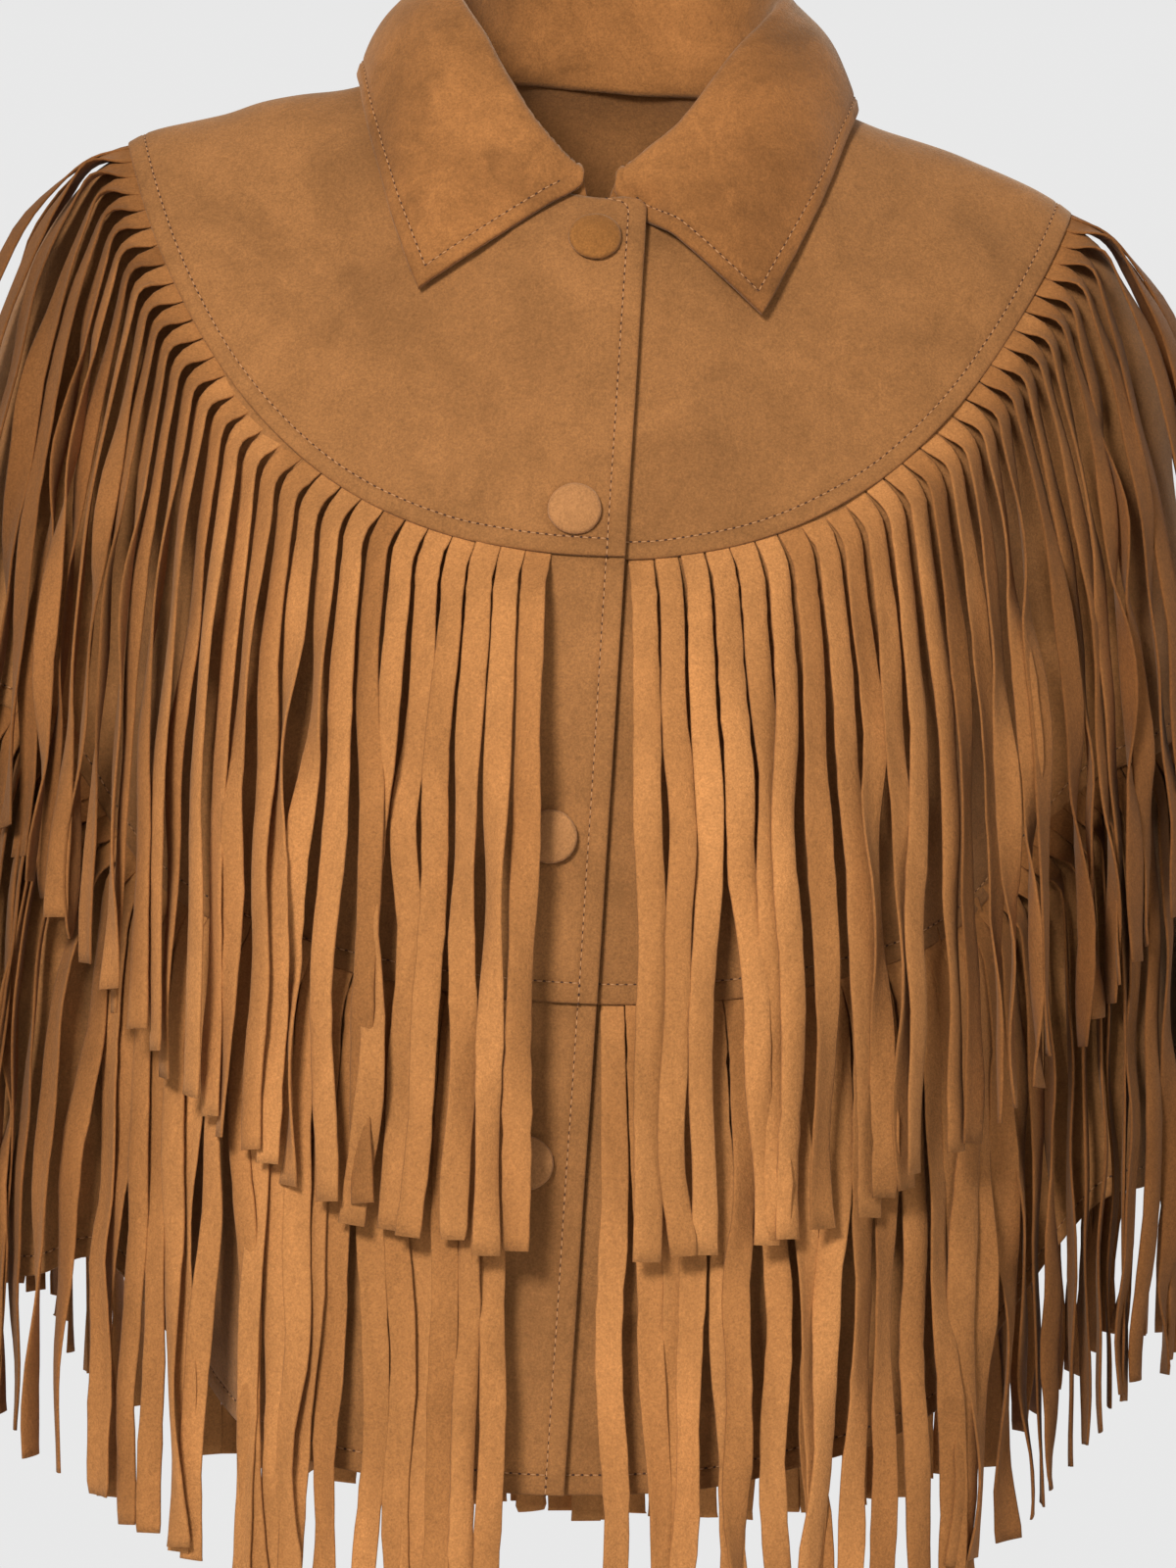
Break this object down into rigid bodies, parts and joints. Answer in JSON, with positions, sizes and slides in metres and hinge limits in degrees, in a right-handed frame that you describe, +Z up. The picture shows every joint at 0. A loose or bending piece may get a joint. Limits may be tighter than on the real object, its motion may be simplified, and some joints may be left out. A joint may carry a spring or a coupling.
{
  "type": "fringe cape",
  "caption": "Cropped suede cape worn closed: pointed collar, round yoke, covered snap buttons down the front and two tiers of long cut fringe.",
  "frame": {"origin": "between the shoulders, level with the ends of the yoke, where the wearer carries the cape", "axes": "+Z up, the front faces -Y, +X towards the wearer's left; the cape leans with the wearer, its hem 4.2 degrees towards -X"},
  "size_m": [0.5791, 0.3313, 0.6897],
  "materials": {
    "panel_suede": "napped suede, matte",
    "collar_suede": "napped suede, matte",
    "fringe_suede": "napped suede, matte, cut edges",
    "button_suede": "suede covered cap, matte"
  },
  "bodies": {
    "root": {"yoke_front_right": "panel_suede", "yoke_front_left": "panel_suede", "yoke_back": "panel_suede", "middle_front_right": "panel_suede", "middle_front_left": "panel_suede", "middle_back": "panel_suede", "lower_front_right": "panel_suede", "lower_front_left": "panel_suede", "lower_back": "panel_suede", "collar": "collar_suede", "fringe_upper_front_right": "fringe_suede", "fringe_upper_front_left": "fringe_suede", "fringe_upper_back": "fringe_suede", "fringe_lower_front_right": "fringe_suede", "fringe_lower_front_left": "fringe_suede", "fringe_lower_back": "fringe_suede", "button_1": "button_suede", "button_2": "button_suede", "button_3": "button_suede", "button_4": "button_suede"}
  },
  "joints": []
}
